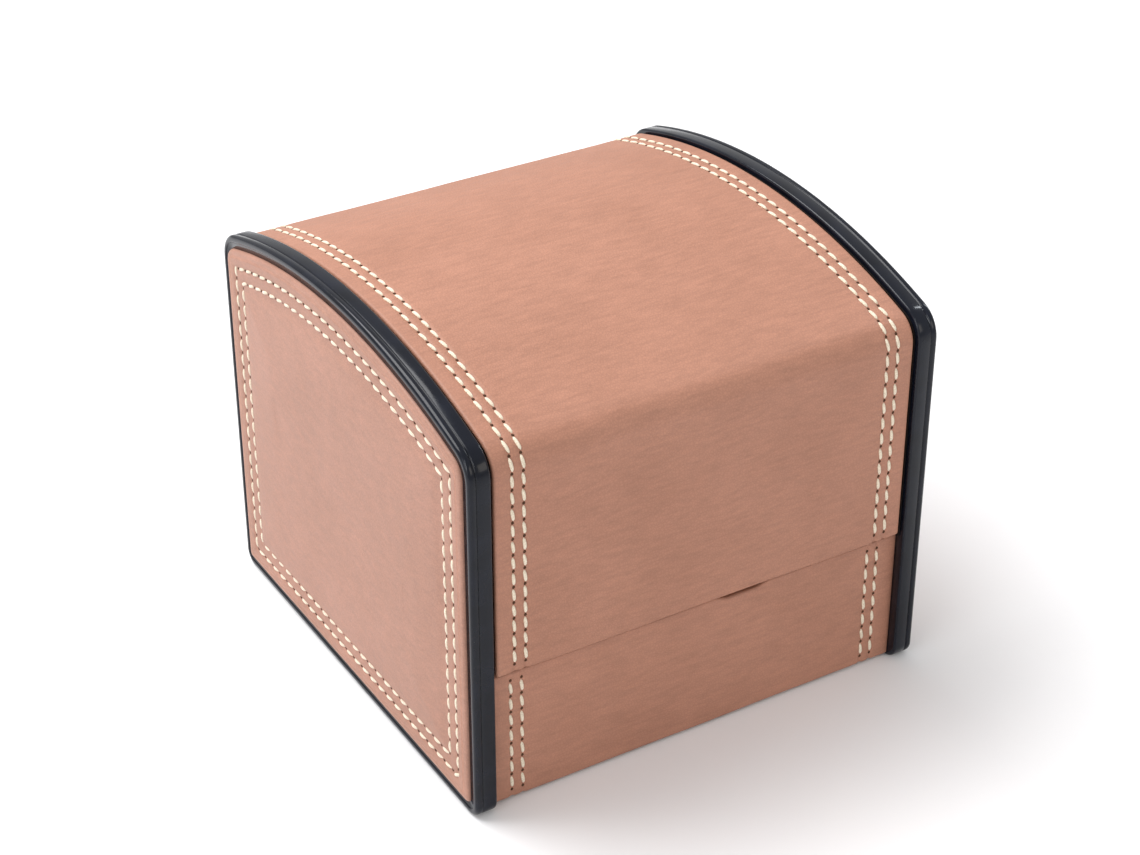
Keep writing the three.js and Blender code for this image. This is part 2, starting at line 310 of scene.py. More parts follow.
def mixed(tree, factor, first, second, blend="MIX"):
    """The mix of two colours. Each argument is a socket or a plain value."""
    node = tree.nodes.new("ShaderNodeMix")
    node.data_type = "RGBA"
    node.blend_type = blend
    for socket, value in ((node.inputs[0], factor), (node.inputs[6], first), (node.inputs[7], second)):
        if isinstance(value, bpy.types.NodeSocket):
            tree.links.new(value, socket)
        elif isinstance(value, tuple):
            socket.default_value = (*value, 1)
        else:
            socket.default_value = value
    return node.outputs[2]


def bumped(tree, shader, layers):
    """Stacks bump layers of (height socket, strength, depth in millimetres)."""
    previous = None
    for height, strength, depth in layers:
        bump = add_node(tree, "ShaderNodeBump", Strength=strength, Distance=depth * MM)
        tree.links.new(height, bump.inputs["Height"])
        if previous:
            tree.links.new(previous, bump.inputs["Normal"])
        previous = bump.outputs["Normal"]
    tree.links.new(previous, shader.inputs["Normal"])


def leather_material(name, streak, dark, light):
    """Fine-grained leatherette. streak stretches its faint streaks, longest along the smallest number."""
    material, tree, shader = new_material(name, 0.52, 0.4)
    plain = coordinates(tree)
    cloudy = noise_of(tree, plain, 18, 2)
    streaks = noise_of(tree, coordinates(tree, streak), 0.9, 4, 0.6)
    base = ramp_of(tree, cloudy, [(0.3, dark), (0.7, light)])
    tones = ramp_of(tree, streaks, [(0.3, (0.41, 0.41, 0.41)), (0.7, (0.58, 0.58, 0.58))])
    toned = mixed(tree, 0.55, base, tones, "OVERLAY")
    cells = add_node(tree, "ShaderNodeTexVoronoi", Scale=1 / (0.55 * MM))
    cells.feature = "DISTANCE_TO_EDGE"
    tree.links.new(plain, cells.inputs["Vector"])
    pebbles = ramp_of(tree, cells.outputs["Distance"], [(0.0, (0, 0, 0)), (0.22, (1, 1, 1))])
    creased = mixed(tree, 0.12, toned, pebbles, "MULTIPLY")
    tree.links.new(creased, shader.inputs["Base Color"])
    rough = add_node(tree, "ShaderNodeMapRange")
    rough.inputs["To Min"].default_value = 0.44
    rough.inputs["To Max"].default_value = 0.62
    tree.links.new(streaks, rough.inputs["Value"])
    tree.links.new(rough.outputs["Result"], shader.inputs["Roughness"])
    dents = noise_of(tree, plain, 5, 2)
    bumped(tree, shader, [(pebbles, 0.35, 0.05), (streaks, 0.4, 0.08), (dents, 0.3, 0.25)])
    return material


def suede_material(name, dark, light, nap_mm=0.35):
    """Short-napped suede: mottled colour, fuzzy bump and sheen."""
    material, tree, shader = new_material(name, 0.95, 0.15)
    shader.inputs["Sheen Weight"].default_value = 0.35
    shader.inputs["Sheen Roughness"].default_value = 0.45
    shader.inputs["Sheen Tint"].default_value = (*light, 1)
    plain = coordinates(tree)
    clouds = noise_of(tree, plain, 9, 3)
    nap = noise_of(tree, plain, nap_mm, 4, 0.7)
    base = ramp_of(tree, clouds, [(0.35, dark), (0.65, light)])
    flecks = ramp_of(tree, nap, [(0.3, (0.40, 0.40, 0.40)), (0.7, (0.60, 0.60, 0.60))])
    tree.links.new(mixed(tree, 0.6, base, flecks, "OVERLAY"), shader.inputs["Base Color"])
    bumped(tree, shader, [(nap, 0.5, 0.12), (noise_of(tree, plain, 2.5, 3), 0.3, 0.3)])
    return material


def lacquer_material(name, colour, roughness, specular, coat):
    """Glossy lacquer or coated board with faint orange peel and patchy roughness."""
    material, tree, shader = new_material(name, roughness, specular)
    shader.inputs["Coat Weight"].default_value = coat
    shader.inputs["Coat Roughness"].default_value = 0.06
    plain = coordinates(tree)
    tone = noise_of(tree, plain, 6, 3)
    lighter = tuple(c * 1.9 for c in colour)
    tree.links.new(ramp_of(tree, tone, [(0.35, colour), (0.7, lighter)]), shader.inputs["Base Color"])
    rough = add_node(tree, "ShaderNodeMapRange")
    rough.inputs["To Min"].default_value = roughness * 0.7
    rough.inputs["To Max"].default_value = roughness * 1.6
    tree.links.new(noise_of(tree, plain, 1.2, 4), rough.inputs["Value"])
    tree.links.new(rough.outputs["Result"], shader.inputs["Roughness"])
    bumped(tree, shader, [(noise_of(tree, plain, 1.5, 2), 0.12, 0.05)])
    return material


def thread_material():
    """Cream thread with a faint twist."""
    material, tree, shader = new_material("cream_thread", 0.7, 0.3)
    shader.inputs["Sheen Weight"].default_value = 0.3
    plain = coordinates(tree)
    twist = noise_of(tree, plain, 0.25, 3)
    tree.links.new(
        ramp_of(tree, twist, [(0.3, (0.62, 0.52, 0.38)), (0.7, (0.86, 0.78, 0.64))]),
        shader.inputs["Base Color"],
    )
    bumped(tree, shader, [(twist, 0.6, 0.1)])
    return material


def plain_material(name, dark, light, roughness, grain_mm, bump_mm, specular=0.4, metallic=0.0):
    """A material with mottled colour and a grain."""
    material, tree, shader = new_material(name, roughness, specular)
    shader.inputs["Metallic"].default_value = metallic
    plain = coordinates(tree)
    grain = noise_of(tree, plain, grain_mm, 4)
    tree.links.new(ramp_of(tree, grain, [(0.3, dark), (0.7, light)]), shader.inputs["Base Color"])
    bumped(tree, shader, [(grain, 0.5, bump_mm)])
    return material


lid_leather = leather_material("tan_leatherette", (0.2, 1, 1), (0.385, 0.178, 0.115), (0.425, 0.200, 0.132))
# The side panels get a paler, greyer copy of the same leatherette: the difference is painted sheen, not a second
# colour of leather.
side_leather = leather_material(
    "tan_leatherette_sides_painted_sheen", (1, 0.35, 1), (0.375, 0.192, 0.135), (0.415, 0.214, 0.154)
)
rim_lacquer = lacquer_material("black_edge_lacquer", (0.004, 0.005, 0.009), 0.14, 0.22, 0.06)
cheek_lacquer = lacquer_material("black_cheek_board", (0.014, 0.014, 0.017), 0.2, 0.5, 0.25)
lining_suede = suede_material("brown_suede", (0.385, 0.134, 0.038), (0.445, 0.162, 0.048))
pillow_suede = suede_material("orange_suede", (0.655, 0.282, 0.113), (0.730, 0.322, 0.135), 0.4)
black_lining = plain_material(
    "black_lining", (0.0085, 0.0050, 0.0036), (0.016, 0.0095, 0.007), 0.8, 0.4, 0.05, 0.16
)
nickel = plain_material("nickel", (0.27, 0.26, 0.235), (0.37, 0.355, 0.325), 0.34, 0.8, 0.01, 0.5, 1.0)
black_felt = plain_material("black_felt", (0.008, 0.008, 0.008), (0.028, 0.027, 0.026), 0.95, 0.5, 0.2, 0.1)
grey_board = plain_material("grey_board", (0.20, 0.175, 0.14), (0.30, 0.27, 0.225), 0.9, 0.9, 0.05, 0.2)
wadding = plain_material("wadding", (0.74, 0.71, 0.64), (0.88, 0.85, 0.79), 1.0, 1.5, 0.3, 0.1)
thread = thread_material()
# Dark leather for the turned-in ends: partly edge paint, partly painted shade of the gap where the leather's end
# meets the lining.
dark_edge_paint_and_shade = plain_material(
    "dark_edge_paint_and_shade", (0.060, 0.026, 0.016), (0.095, 0.042, 0.027), 0.6, 0.8, 0.03, 0.3
)
# Needle holes: their dark colour is painted shade of the holes.
needle_hole_painted_shade = plain_material("needle_hole_painted_shade", (0.05, 0.024, 0.014), (0.10, 0.05, 0.03), 0.9, 0.3, 0.02, 0.1)

SLOT_LOOKS = {
    "tan_leather": lid_leather,
    "edge_band": rim_lacquer,
    "lid_cheek": cheek_lacquer,
    "black_lining": black_lining,
    "brown_suede": lining_suede,
    "pillow_suede": pillow_suede,
    "board": grey_board,
    "underside_felt": black_felt,
    "hinge_metal": nickel,
    "wadding": wadding,
}
for entry in frame["record"]["subparts"]:
    mesh = frame["nodes"][entry["node"]].data
    mesh.materials.clear()
    mesh.materials.append(SLOT_LOOKS[entry["material_slot"]])

# Radius of the bevel on the edges of CAD nodes that show, in millimetres.
SOFTENED = {
    "lid_cheek_left": 0.45,
    "lid_cheek_right": 0.45,
    "lid_lining": 0.3,
    "front_lining": 0.3,
    "back_lining": 0.3,
    "floor_lining": 0.2,
    "side_lining_left": 0.12,
    "side_lining_right": 0.12,
    "lid_cheek_lining_left": 0.12,
    "lid_cheek_lining_right": 0.12,
    "front_board": 0.2,
    "back_board": 0.2,
    "underside_sheet": 0.15,
    "hinge_base_leaf": 0.08,
    "hinge_lid_leaf": 0.08,
    "hinge_pin": 0.08,
}
for node_name, radius in SOFTENED.items():
    bevel = frame["nodes"][node_name].modifiers.new("soft_edges", "BEVEL")
    bevel.width = radius * MM
    bevel.segments = 3
    bevel.limit_method = "ANGLE"
    bevel.angle_limit = math.radians(40)
    bevel.harden_normals = True

# ---------------------------------------------------------------- stitches


def stitch_shape():
    """One stitch of thread along X: a bowed capsule whose ends dip into the leather."""
    rings, sides = 9, 8
    vertices = []
    for i in range(rings):
        t = -1 + 2 * i / (rings - 1)
        girth = math.sqrt(max(1 - abs(t) ** 3.2, 0.02))
        for j in range(sides):
            turn = 2 * math.pi * j / sides
            across = 0.34 * girth * math.cos(turn)
            up = 0.24 * girth * math.sin(turn) + 0.16 * (1 - t * t) - 0.10
            vertices.append((t * STITCH_LENGTH / 2, across, up))
    faces = [tuple(range(sides)), tuple(range((rings - 1) * sides, rings * sides))]
    for i in range(rings - 1):
        for j in range(sides):
            k = (j + 1) % sides
            faces.append((i * sides + j, i * sides + k, (i + 1) * sides + k, (i + 1) * sides + j))
    return np.array(vertices), faces


def hole_shape():
    """A flat dimple where the thread goes through, dark with painted shade of the hole."""
    sides = 8
    vertices = [(0, 0, 0.05)]
    for radius, up in ((0.22, 0.035), (0.34, -0.06)):
        for j in range(sides):
            turn = 2 * math.pi * j / sides
            vertices.append((radius * math.cos(turn), radius * 1.1 * math.sin(turn), up))
    vertices.append((0, 0, -0.12))
    faces = []
    for j in range(sides):
        k = (j + 1) % sides
        faces.append((0, 1 + j, 1 + k))
        faces.append((1 + j, 1 + sides + j, 1 + sides + k, 1 + k))
        faces.append((2 * sides + 1, 1 + sides + k, 1 + sides + j))
    return np.array(vertices), faces


def placed(shape, spots):
    """Copies of a shape at spots of (place, along, up), as one list of vertices and faces."""
    vertices, faces = [], []
    local, local_faces = shape
    for place, along, up in spots:
        across = np.cross(up, along)
        basis = np.stack([along, across, up])
        start = len(vertices) * len(local)
        vertices.append(local @ basis + place)
        faces.extend(tuple(v + start for v in face) for face in local_faces)
    return np.concatenate(vertices), faces


def stitch_line(points, ups, rng, closed=False):
    """Spots for stitches and needle holes along a polyline of places with their surface normals."""
    if closed:
        points = np.vstack([points, points[:1]])
        ups = np.vstack([ups, ups[:1]])
    lengths = distances(points)
    count = max(int(round(lengths[-1] / STITCH_PITCH)), 1)
    pitch = lengths[-1] / count

    def at(s):
        return np.array([np.interp(s, lengths, points[:, k]) for k in range(3)])

    def up_at(s):
        up = np.array([np.interp(s, lengths, ups[:, k]) for k in range(3)])
        return up / np.linalg.norm(up)

    stitches, holes = [], []
    for i in range(count):
        middle = (i + 0.5) * pitch
        along = at(middle + 0.5) - at(middle - 0.5)
        up = up_at(middle)
        along -= up * along.dot(up)
        along /= np.linalg.norm(along)
        slant = math.radians(7 + rng.uniform(-2.5, 2.5))
        slanted = along * math.cos(slant) + np.cross(up, along) * math.sin(slant)
        stitches.append((at(middle) + up * rng.uniform(-0.03, 0.03), slanted, up))
        holes.append((at(i * pitch), along, up_at(i * pitch)))
    holes.append((at(lengths[-1]), holes[-1][1], up_at(lengths[-1])))
    return stitches, holes


def sew(name, lines, body, seed):
    """Threads and needle holes of several stitch lines, riding on a body."""
    rng = random.Random(seed)
    stitches, holes = [], []
    for points, ups, closed in lines:
        more_stitches, more_holes = stitch_line(points, ups, rng, closed)
        stitches += more_stitches
        holes += more_holes
    threads = make_mesh(f"{name}_thread", *placed(stitch_shape(), stitches), thread)
    pits = make_mesh(f"{name}_holes", *placed(hole_shape(), holes), needle_hole_painted_shade)
    for piece in (threads, pits):
        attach(piece, body)


# ---------------------------------------------------------------- side panels

RIM_OUTER = PANEL_HIGH[0]
RIM_INNER = PANEL_LOW[0]
PAD_EDGE = 2.5  # the padded leather's outline, in from the panel's


def rounded(start, end, corner, steps=6):
    """Points of a quarter bend from start to end that bulges towards corner."""
    start, end, corner = map(np.array, (start, end, corner))
    centre = start + end - corner
    turn = np.linspace(0, math.pi / 2, steps + 1)
    return [centre + (start - centre) * math.cos(a) + (end - centre) * math.sin(a) for a in turn]


def rim(side, sign):
    """Lacquered edge of a side panel: a flat band, a fine groove and a rounded bead, as one closed ring."""
    crest = RIM_OUTER + 0.3
    bead = 0.75
    soft = 0.45
    groove = RIM_OUTER - 1.15
    turned_in = RIM_INNER - 0.12
    section = [
        (turned_in, 2.9),
        *rounded((turned_in, soft), (turned_in + soft, 0), (turned_in, 0)),
        (groove - 0.26, 0.0),
        (groove - 0.14, 0.05),
        (groove - 0.04, 0.30),
        (groove + 0.04, 0.30),
        (groove + 0.14, 0.05),
        (groove + 0.24, 0.0),
        *rounded((crest - bead, 0), (crest, bead), (crest, 0), 8),
        *rounded((crest, 1.0), (crest - 0.22, 1.3), (crest, 1.3), 4),
        (RIM_OUTER + 0.04, 1.4),
        (RIM_OUTER + 0.03, 3.2),
        (RIM_OUTER - 0.6, 3.3),
        (RIM_INNER + 0.4, 3.1),
    ]
    rings = []
    for x, inset in section:
        outline = panel_outline(inset)
        rings.append(np.column_stack([np.full(len(outline), sign * x), outline]))
    piece = swept_rings(f"panel_rim_{side}", rings, rim_lacquer, closed=True)
    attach(piece, "base")
    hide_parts(f"side_edge_band_{side}")


def pad_height(inset):
    """Height of the padded leather over the panel board, by distance in from the outline."""
    edge = min((inset - PAD_EDGE) / 0.5, 1)
    height = 0.6 * math.sqrt(max(1 - (1 - edge) ** 2, 0))
    border = min(max((inset - PAD_EDGE) / (PANEL_ROWS[0] - PAD_EDGE), 0), 1)
    height += 0.16 * math.sin(border * math.pi)
    puff = min(max((inset - PANEL_ROWS[1]) / 15, 0), 1)
    height += 1.15 * math.sin(puff * math.pi / 2) ** 0.75
    for row in PANEL_ROWS:
        height -= 0.24 * math.exp(-(((inset - row) / 0.42) ** 2))
    return height


def side_pad(side, sign):
    """Padded leather on a side panel's outer face, with its two stitch lines."""
    insets = [PAD_EDGE, *(PAD_EDGE + d for d in (0.03, 0.1, 0.2, 0.35, 0.55, 0.9, 1.5))]
    insets += list(np.arange(4.0, 8.6, 0.22)) + list(np.arange(9.0, 24, 1.5))
    rings = []
    outline = panel_outline(PAD_EDGE + 0.1)
    rings.append(np.column_stack([np.full(len(outline), sign * (RIM_OUTER - 0.35)), outline]))
    for inset in insets:
        outline = panel_outline(inset)
        waviness = 0.10 * min(inset / 8, 1)
        waves = [waviness * noise.noise((y / 16, z / 16, 3.7 + sign)) for y, z in outline]
        x = [RIM_OUTER + pad_height(inset) + wave for wave in waves]
        rings.append(np.column_stack([sign * np.array(x), outline]))
    piece = swept_rings(f"side_pad_{side}", rings, side_leather, cap_start=True, cap_end=True)
    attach(piece, "base")
    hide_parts(f"side_leather_{side}")
    lines = []
    for row in PANEL_ROWS:
        outline = panel_outline(row)
        x = np.full(len(outline), sign * (RIM_OUTER + pad_height(row) + STITCH_LIFT))
        points = np.column_stack([x, outline])
        ups = np.tile([sign, 0.0, 0.0], (len(points), 1))
        lines.append((points, ups, True))
    sew(f"side_stitching_{side}", lines, "base", 11 + sign)


for side_name, side_sign in (("left", -1), ("right", 1)):
    rim(side_name, side_sign)
    side_pad(side_name, side_sign)

# ---------------------------------------------------------------- lid and base leather

FOLD_RADIUS = 0.6
SEAM_EASE = 0.2  # the leather's folds stand back from the seam
RAW_EDGE = 0.6  # width of the dark line along the turned-in leather's ends: partly dark edge paint, partly painted shade of the gap there
# How far the leather runs in over the edge of a wall.
FOLDED_IN = LEATHER_THICKNESS + FRONT_BOARD_HIGH[1] - FRONT_BOARD_LOW[1]
FRONT_TOP = FRONT_BOARD_HIGH[2] + LEATHER_THICKNESS
FRONT_SEAM = (LID_LOW[2] + FRONT_TOP) / 2
NOTCH_X, NOTCH_HALF, NOTCH_DEPTH = 9.0, 5.0, 0.85
NOTCH_FADE = 9.0  # the front leather is drawn down with the notch over this height


def edge_stations(half, rows):
    """X positions across a sheet: close together at its edges and stitch lines."""
    insets = [i for i in (0, 0.04, 0.12, 0.25, 0.45, 0.7, 1.1, 1.8, 2.8, 3.8) if i < rows[0] - 1.2]
    insets += list(np.arange(rows[0] - 1.12, rows[1] + 1.3, 0.28))
    insets += list(np.arange(rows[1] + 2.2, half, 2.2))
    right = [half - i for i in insets]
    return sorted({round(x, 4) for x in right + [-x for x in right]})


def sheet_lift(half, rows, roll):
    """Lift of a leather sheet by X: rolled at its side edges and pulled in along its stitch lines."""

    def lift(s, x):
        inset = half - abs(x)
        edge = min(inset / roll, 1)
        height = -roll * (1 - math.sqrt(max(1 - (1 - edge) ** 2, 0)))
        for row in rows:
            height -= 0.2 * math.exp(-(((inset - row) / 0.42) ** 2))
        wave = noise.noise((x / 22, s / 22, half)) * 0.14 + noise.noise((x / 7, s / 7, 2.0)) * 0.035
        return height + wave * min(inset / 6, 1)

    return lift


def fold(corner, start, end):
    """A quarter bend at an outside corner, between the directions back to start and on to end."""
    corner, start, end = map(np.array, (corner, start, end))
    a = corner + (start - corner) / np.linalg.norm(start - corner) * FOLD_RADIUS
    b = corner + (end - corner) / np.linalg.norm(end - corner) * FOLD_RADIUS
    return rounded(a, b, corner)


def rows_along(path, lift, xs, start, end):
    """Stitch lines along part of a path, between two distances along it, at several X."""
    normals = path_normals(path)
    lengths = distances(path)
    keep = (lengths >= start) & (lengths <= end)
    lines = []
    for x in xs:
        lifts = np.array([lift(s, x) for s in lengths[keep]]) + STITCH_LIFT
        places = path[keep] + normals[keep] * lifts[:, None]
        count = len(places)
        points = np.column_stack([np.full(count, x), places])
        ups = np.column_stack([np.zeros(count), normals[keep]])
        lines.append((points, ups, False))
    return lines


def darken_ends_paint_and_shade(piece, path):
    """Darkens a sheet along the raw edges at the two ends of its path: partly dark edge paint, partly painted
    shade of the gap where the leather's end meets the lining.
    """
    piece.data.materials.append(dark_edge_paint_and_shade)
    for face in piece.data.polygons:
        middle = face.center / MM
        if any(abs(middle.y - y) < RAW_EDGE and abs(middle.z - z) < 2 for y, z in (path[0], path[-1])):
            face.material_index = 1


STITCH_XS = [sign * (LID_HIGH[0] - row) for sign in (-1, 1) for row in ROW_OFFSETS]


def lid_cover():
    """The lid's leather: folded under the front wall's edge, up over the arch, and under the back wall's."""
    front, back, radius, corner = lid_loaf(0)
    arch = arch_path(front, back, radius, corner)
    front_z, back_z = LID_LOW[2] + SEAM_EASE, HINGE_Z + (LID_LOW[2] - FRONT_SEAM)
    path = np.concatenate([
        [(FOLDED_IN - front, front_z)],
        fold((-front, front_z), (FOLDED_IN - front, front_z), (-front, arch[0][1])),
        arch,
        fold((back, back_z), (back, arch[-1][1]), (back - FOLDED_IN, back_z)),
        [(back - FOLDED_IN, back_z)],
    ])
    path = filled(path, 1.2)
    half = LID_HIGH[0]
    lift = sheet_lift(half, ROW_OFFSETS, 0.55)
    stations = edge_stations(half, ROW_OFFSETS)
    piece = strip_sheet("lid_cover", path, stations, lift, LEATHER_THICKNESS, lid_leather)
    darken_ends_paint_and_shade(piece, path)
    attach(piece, "lid")
    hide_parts("lid_leather")
    total = distances(path)[-1]
    lines = rows_along(path, lift, STITCH_XS, FOLDED_IN + 1.2, total - FOLDED_IN - 1.2)
    sew("lid_stitching", lines, "lid", 21)


def base_cover():
    """The base's leather: over the front wall's edge, down, under the floor and up the back wall."""
    front, back = BASE_LOW[1], BASE_HIGH[1]
    low = BASE_LOW[2]
    front_top, back_top = FRONT_TOP - SEAM_EASE, BASE_HIGH[2]
    path = np.concatenate([
        [(back - FOLDED_IN, back_top)],
        fold((back, back_top), (back - FOLDED_IN, back_top), (back, low)),
        fold((back, low), (back, back_top), (front, low)),
        fold((front, low), (back, low), (front, front_top)),
        fold((front, front_top), (front, low), (front + FOLDED_IN, front_top)),
        [(front + FOLDED_IN, front_top)],
    ])
    path = filled(path, 1.2)
    half = BASE_HIGH[0]
    rows = tuple(half - LID_HIGH[0] + row for row in ROW_OFFSETS)
    lift = sheet_lift(half, rows, 0.25)
    stations = edge_stations(half, rows)
    stations = sorted(set(stations) | {round(NOTCH_X + d, 4) for d in np.arange(-7, 7.1, 0.5)})
    piece = strip_sheet("base_cover", path, stations, lift, LEATHER_THICKNESS, lid_leather)
    for vertex in piece.data.vertices:
        x, y, z = vertex.co / MM
        if y < front + FOLDED_IN + 1 and z > front_top - NOTCH_FADE:
            side_share = min(max((NOTCH_HALF + 1.2 - abs(x - NOTCH_X)) / 3.4, 0), 1)
            depth = NOTCH_DEPTH * side_share**2 * (3 - 2 * side_share)
            vertex.co.z -= depth * min((z - front_top + NOTCH_FADE) / (NOTCH_FADE - 1), 1) * MM
    darken_ends_paint_and_shade(piece, path)
    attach(piece, "base")
    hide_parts("base_leather")
    total = distances(path)[-1]
    front_start, back_end = total - FOLDED_IN - (front_top - low), FOLDED_IN + back_top - low
    lines = rows_along(path, lift, STITCH_XS, FOLDED_IN + 0.6, back_end - 1.6)
    lines += rows_along(path, lift, STITCH_XS, front_start + 1.2, total - FOLDED_IN - 0.6)
    sew("base_stitching", lines, "base", 31)


lid_cover()
base_cover()

# ---------------------------------------------------------------- pillow

PILLOW_HALF_WIDTH = span("pillow_cover")[1][0]
PILLOW_CROWN = 11.0  # top face above the seam
PILLOW_BELLY = 34.0  # underside below the seam, before it is pressed against the box
SEAM_FRONT = np.array([INNER_FRONT + 1.6, FLOOR_TOP + 17.0])
SEAM_BACK = np.array([INNER_BACK - 10.5, HINGE_Z + 15.0])
PILLOW_GRID = (46, 48)
PILLOW_BOW = 0.12  # the cut's edges bow out, so that the filled pillow's edges come out nearly straight


def pillow_envelope(width, length):
    """Two flat sheets sewn together at their edges: places, faces, and the rim's vertices in order."""
    across, along = PILLOW_GRID
    number, places, faces = {}, [], []

    def corner(i, j, side):
        on_edge = i in (0, across) or j in (0, along)
        key = (i, j, 0 if on_edge else side)
        if key not in number:
            u, v = 2 * i / across - 1, 2 * j / along - 1
            gap = 0 if on_edge else side * 0.35 * math.sqrt((1 - u * u) * (1 - v * v))
            number[key] = len(places)
            bow_u, bow_v = 1 + PILLOW_BOW * (1 - v * v), 1 + PILLOW_BOW * (1 - u * u)
            places.append((u * bow_u * width / 2, v * bow_v * length / 2, gap))
        return number[key]

    for side in (1, -1):
        for i in range(across):
            for j in range(along):
                quad = [corner(i + a, j + b, side) for a, b in ((0, 0), (1, 0), (1, 1), (0, 1))]
                faces.append(quad if side > 0 else quad[::-1])
    edge = [(i, 0) for i in range(across)] + [(across, j) for j in range(along)]
    edge += [(i, along) for i in range(across, 0, -1)] + [(0, j) for j in range(along, 0, -1)]
    return np.array(places), faces, [number[(i, j, 0)] for i, j in edge]


def inflated(places, faces):
    """The envelope blown up as cloth, in centimetres."""
    mesh = bpy.data.meshes.new("pillow_cloth")
    mesh.from_pydata([tuple(p) for p in places], [], faces)
    cloth_object = bpy.data.objects.new("pillow_cloth", mesh)
    bpy.context.collection.objects.link(cloth_object)
    cloth = cloth_object.modifiers.new("cloth", "CLOTH")
    settings = cloth.settings
    settings.quality = 8
    settings.mass = 0.3
    settings.tension_stiffness = 25
    settings.compression_stiffness = 12
    settings.shear_stiffness = 10
    settings.bending_stiffness = 0.25
    settings.tension_damping = settings.compression_damping = settings.shear_damping = 10
    settings.air_damping = 6
    settings.use_pressure = True
    settings.uniform_pressure_force = 4
    settings.effector_weights.gravity = 0
    cloth.collision_settings.use_collision = False
    frames = 32
    cloth.point_cache.frame_start, cloth.point_cache.frame_end = 1, frames
    for number in range(1, frames + 1):
        bpy.context.scene.frame_set(number)
    shown = cloth_object.evaluated_get(bpy.context.evaluated_depsgraph_get()).to_mesh()
    result = np.array([vertex.co for vertex in shown.vertices])
    bpy.data.objects.remove(cloth_object)
    bpy.context.scene.frame_set(1)
    return result


def pillow():
    """Suede pillow: blown up, made shallower above the seam and deeper below, then laid in the box."""
    direction = SEAM_BACK - SEAM_FRONT
    length = np.linalg.norm(direction)
    direction /= length
    normal = np.array([-direction[1], direction[0]])
    middle = (SEAM_FRONT + SEAM_BACK) / 2
    half_width = PILLOW_HALF_WIDTH
    cut = np.array([2 * half_width, length]) / 10
    places, faces, edge = pillow_envelope(*cut)
    places = inflated(places, faces)
    places[:, :2] *= np.array([half_width, length / 2]) / np.abs(places[:, :2]).max(0)
    top, bottom = places[:, 2].max(), -places[:, 2].min()
    u, v, h = places[:, 0] / half_width, places[:, 1] / length * 2, places[:, 2]
    crown = np.where(h > 0, h * PILLOW_CROWN / top, h * PILLOW_BELLY / bottom)
    # The strap side is pressed in at the left, where a crease runs in from the seam.
    reach = np.clip((u + 1.02) / 0.75, 0, 1)
    crease = np.exp(-(((v + 0.02 - 0.22 * reach) / 0.07) ** 2)) * (1 - reach) ** 0.8
    second = np.exp(-(((v - 0.30 + 0.10 * reach) / 0.09) ** 2)) * (1 - reach) ** 1.4
    dip = np.exp(-(((v - 0.08) / 0.34) ** 2)) * (1 - reach) ** 1.6
    pressed_in = 2.6 * crease + 1.2 * second + 3.2 * dip
    crown -= np.where(h > 0, 1.0, 0.3) * pressed_in * np.clip(reach * 5, 0, 1)
    for outer, inner, size, seed in ((u, v, half_width, 1.0), (v, u, length / 2, 7.0)):
        inward = (1 - np.abs(outer)) * size
        puckers = [noise.noise((a * 11, seed + 3 * math.copysign(1, b), 0.5)) for a, b in zip(inner, outer)]
        crown += np.array(puckers) * 1.3 * np.exp(-inward / 6.5) * np.clip(inward / 2, 0, 1)
    rim_waves = np.array([noise.noise((a * 2.2, b * 2.2, 5.0)) for a, b in zip(u, v)])
    crown += rim_waves * 1.1 * np.clip(np.maximum(np.abs(u), np.abs(v)) - 0.55, 0, 1) * 2
    x = places[:, 0] + 1.3 * dip * np.sign(-u)
    y = middle[0] + direction[0] * places[:, 1] + normal[0] * crown
    z = middle[1] + direction[1] * places[:, 1] + normal[1] * crown

    def pressed(value, limit, sign, give=2.5):
        """Bends a value softly against a limit."""
        over = sign * (value - limit) + give
        return np.where(over > 0, limit + sign * (give * (1 - np.exp(-over / give)) - give), value)

    y = pressed(y, INNER_FRONT + 0.35, -1)
    y = pressed(y, INNER_BACK - 0.35, 1)
    z = pressed(z, FLOOR_TOP + 0.3, -1)
    place = np.column_stack([x, y, z])
    piece = make_mesh("suede_pillow", place, faces, pillow_suede)
    smooth = piece.modifiers.new("smooth", "SUBSURF")
    smooth.levels = smooth.render_levels = 1
    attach(piece, "base")
    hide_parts("pillow_cover", "pillow_filling")
    return place[edge]


def flange(loop):
    """The seam of the pillow: both sheets' edges stand out together as a thin, slightly wavy rib."""
    centre = loop.mean(0)
    tangent = np.roll(loop, -1, 0) - np.roll(loop, 1, 0)
    tangent /= np.linalg.norm(tangent, axis=1)[:, None]
    direction = SEAM_BACK - SEAM_FRONT
    normal = np.array([0, -direction[1], direction[0]]) / np.linalg.norm(direction)
    out = np.cross(tangent, normal)
    out /= np.linalg.norm(out, axis=1)[:, None]
    out *= np.sign(np.sum(out * (loop - centre), 1))[:, None]
    section = [(-0.5, 0.30), (0.35, 0.26), (0.72, 0.0), (0.35, -0.26), (-0.5, -0.30)]
    rings = []
    for k, (place, outward) in enumerate(zip(loop, out)):
        wave = 0.10 * math.sin(k * 1.9) + 0.12 * noise.noise((k * 0.21, 1.5, 0.0))
        rings.append([place + outward * (a + wave) + normal * (b + wave * 0.8) for a, b in section])
    piece = swept_rings("pillow_seam", [np.array(r) for r in rings], pillow_suede, closed=True)
    smooth = piece.modifiers.new("smooth", "SUBSURF")
    smooth.levels = smooth.render_levels = 1
    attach(piece, "base")


flange(pillow())


STRIP_REACH = 7.0  # of the hinge strip above and below the hinge's axis
STRIP_THICKNESS = 0.45
STRIP_SIDE_GAP = 0.3
STRIP_STEP = 0.8  # above the axis, where the strip narrows to pass between the lid's cheeks
STRIP_COLUMNS, STRIP_ROWS = 45, 57


